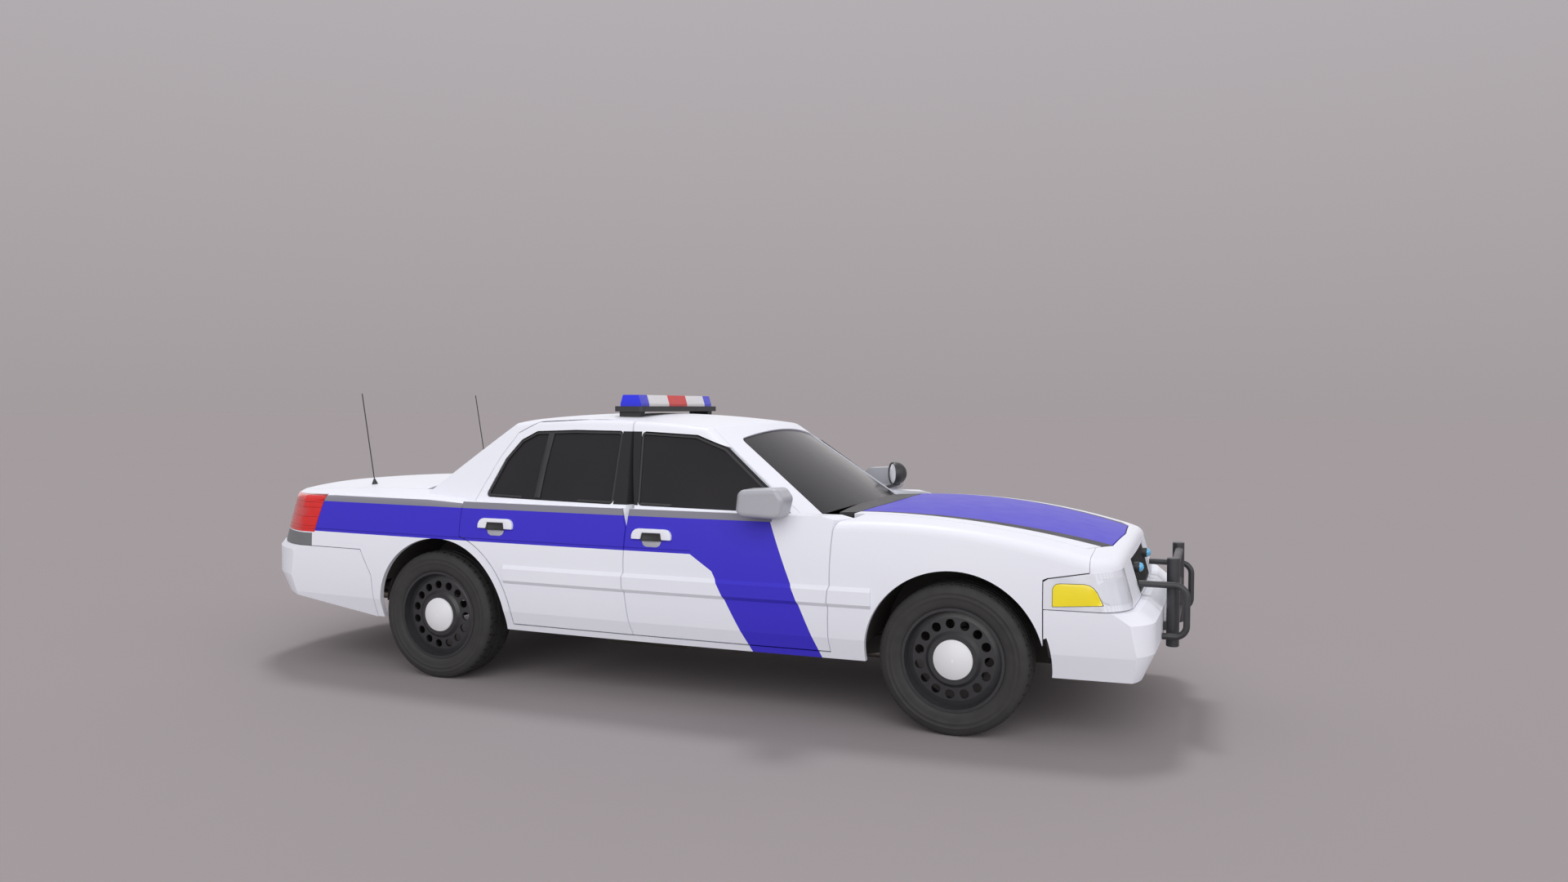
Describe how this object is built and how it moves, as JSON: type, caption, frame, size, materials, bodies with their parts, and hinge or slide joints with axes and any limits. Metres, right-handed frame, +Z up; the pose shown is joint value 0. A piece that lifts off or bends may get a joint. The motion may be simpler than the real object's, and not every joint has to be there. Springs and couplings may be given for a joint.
{
  "type": "police patrol car",
  "caption": "Four-door patrol sedan with roof light bar, push bumper, spot lamp and aerials; its doors, lids, steering and wheels move.",
  "frame": {"origin": "on the ground, at the middle of the overall length and width", "axes": "+X forward, +Y to the car's left, +Z up"},
  "size_m": [5.4399, 2.21, 1.5944],
  "materials": {
    "paint_white": "gloss",
    "glass_tint": "polished",
    "lamp_clear": "polished",
    "lamp_red": "gloss",
    "lens_blue": "gloss",
    "lens_red": "gloss",
    "lens_white": "gloss",
    "black_plastic": "matte",
    "black_steel": "satin",
    "grey_plastic": "satin",
    "rim_black": "satin",
    "tyre": "matte",
    "chassis": "matte",
    "cast_block": "rough",
    "bare_steel": "brushed",
    "seat_cloth": "woven"
  },
  "bodies": {
    "body": {"bulkheads": "chassis", "centre_pillars": "black_steel", "chassis_frame": "chassis", "cowl": "black_plastic", "dashboard": "black_plastic", "engine": "cast_block", "exhaust": "bare_steel", "floor_pan": "chassis", "front_bumper": "paint_white", "front_seats": "seat_cloth", "front_suspension": "chassis", "front_wings": "paint_white", "fuel_tank": "chassis", "grille": "black_plastic", "headlamps": "lamp_clear", "lens_blue": "lens_blue", "lens_red": "lens_red", "lens_white": "lens_white", "light_bar_base": "black_plastic", "nose_panel": "paint_white", "propeller_shaft": "bare_steel", "push_bumper": "black_steel", "quarter_panels": "paint_white", "radiator": "black_plastic", "rear_axle": "chassis", "rear_bumper": "paint_white", "rear_seat": "seat_cloth", "roof_frame": "paint_white", "screens": "glass_tint", "sills": "paint_white", "spot_lamp": "black_steel", "tail_lamps": "lamp_red", "wheel_liners": "black_plastic"},
    "front_left_door": {"front_door_left": "paint_white", "front_door_glass_left": "glass_tint", "mirror_left": "grey_plastic"},
    "front_left_wheel": {"tyre_front_left": "tyre", "rim_front_left": "rim_black"},
    "front_right_door": {"front_door_right": "paint_white", "front_door_glass_right": "glass_tint", "mirror_right": "grey_plastic"},
    "front_right_wheel": {"tyre_front_right": "tyre", "rim_front_right": "rim_black"},
    "rear_left_door": {"rear_door_left": "paint_white", "rear_door_glass_left": "glass_tint"},
    "rear_left_wheel": {"tyre_rear_left": "tyre", "rim_rear_left": "rim_black"},
    "rear_right_door": {"rear_door_right": "paint_white", "rear_door_glass_right": "glass_tint"},
    "rear_right_wheel": {"tyre_rear_right": "tyre", "rim_rear_right": "rim_black"},
    "left_knuckle": {"knuckle_left": "cast_block"},
    "right_knuckle": {"knuckle_right": "cast_block"},
    "hood": {"hood": "paint_white"},
    "boot_lid": {"boot_lid": "paint_white", "aerials": "black_plastic"},
    "steering_wheel": {"steering_wheel": "black_plastic"}
  },
  "joints": [
    {"name": "front_left_door_hinge", "type": "hinge", "parent": "body", "child": "front_left_door", "pos_m": [1.104, 0.988, 0.65], "axis": [0, 0, -1], "range_deg": [0, 62]},
    {"name": "rear_left_door_hinge", "type": "hinge", "parent": "body", "child": "rear_left_door", "pos_m": [0.016, 1.001, 0.65], "axis": [0, 0, -1], "range_deg": [0, 62]},
    {"name": "front_right_door_hinge", "type": "hinge", "parent": "body", "child": "front_right_door", "pos_m": [1.104, -0.988, 0.65], "axis": [0, 0, 1], "range_deg": [0, 62]},
    {"name": "rear_right_door_hinge", "type": "hinge", "parent": "body", "child": "rear_right_door", "pos_m": [0.016, -1.001, 0.65], "axis": [0, 0, 1], "range_deg": [0, 62]},
    {"name": "hood_hinge", "type": "hinge", "parent": "body", "child": "hood", "pos_m": [1.15, 0, 1.002], "axis": [0, -1, 0], "range_deg": [0, 55]},
    {"name": "boot_lid_hinge", "type": "hinge", "parent": "body", "child": "boot_lid", "pos_m": [-1.445, 0, 1.09], "axis": [0, 1, 0], "range_deg": [0, 70]},
    {"name": "steering_turn", "type": "hinge", "parent": "body", "child": "steering_wheel", "pos_m": [0.605, 0.38, 0.905], "axis": [-0.9061, 0, 0.423], "range_deg": [-448, 448]},
    {"name": "left_steer", "type": "hinge", "parent": "body", "child": "left_knuckle", "pos_m": [1.7, 0.735, 0.355], "axis": [0, 0, 1], "range_deg": [-32, 32]},
    {"name": "front_left_wheel_spin", "type": "hinge", "parent": "left_knuckle", "child": "front_left_wheel", "pos_m": [1.7, 0.8, 0.355], "axis": [0, 1, 0], "continuous": true},
    {"name": "rear_left_wheel_spin", "type": "hinge", "parent": "body", "child": "rear_left_wheel", "pos_m": [-1.213, 0.8, 0.355], "axis": [0, 1, 0], "continuous": true},
    {"name": "right_steer", "type": "hinge", "parent": "body", "child": "right_knuckle", "pos_m": [1.7, -0.735, 0.355], "axis": [0, 0, 1], "range_deg": [-32, 32]},
    {"name": "front_right_wheel_spin", "type": "hinge", "parent": "right_knuckle", "child": "front_right_wheel", "pos_m": [1.7, -0.8, 0.355], "axis": [0, 1, 0], "continuous": true},
    {"name": "rear_right_wheel_spin", "type": "hinge", "parent": "body", "child": "rear_right_wheel", "pos_m": [-1.213, -0.8, 0.355], "axis": [0, 1, 0], "continuous": true}
  ],
  "couplings": [
    {"joint": "left_steer", "follows": "steering_turn", "ratio": 0.071429},
    {"joint": "right_steer", "follows": "steering_turn", "ratio": 0.071429}
  ]
}
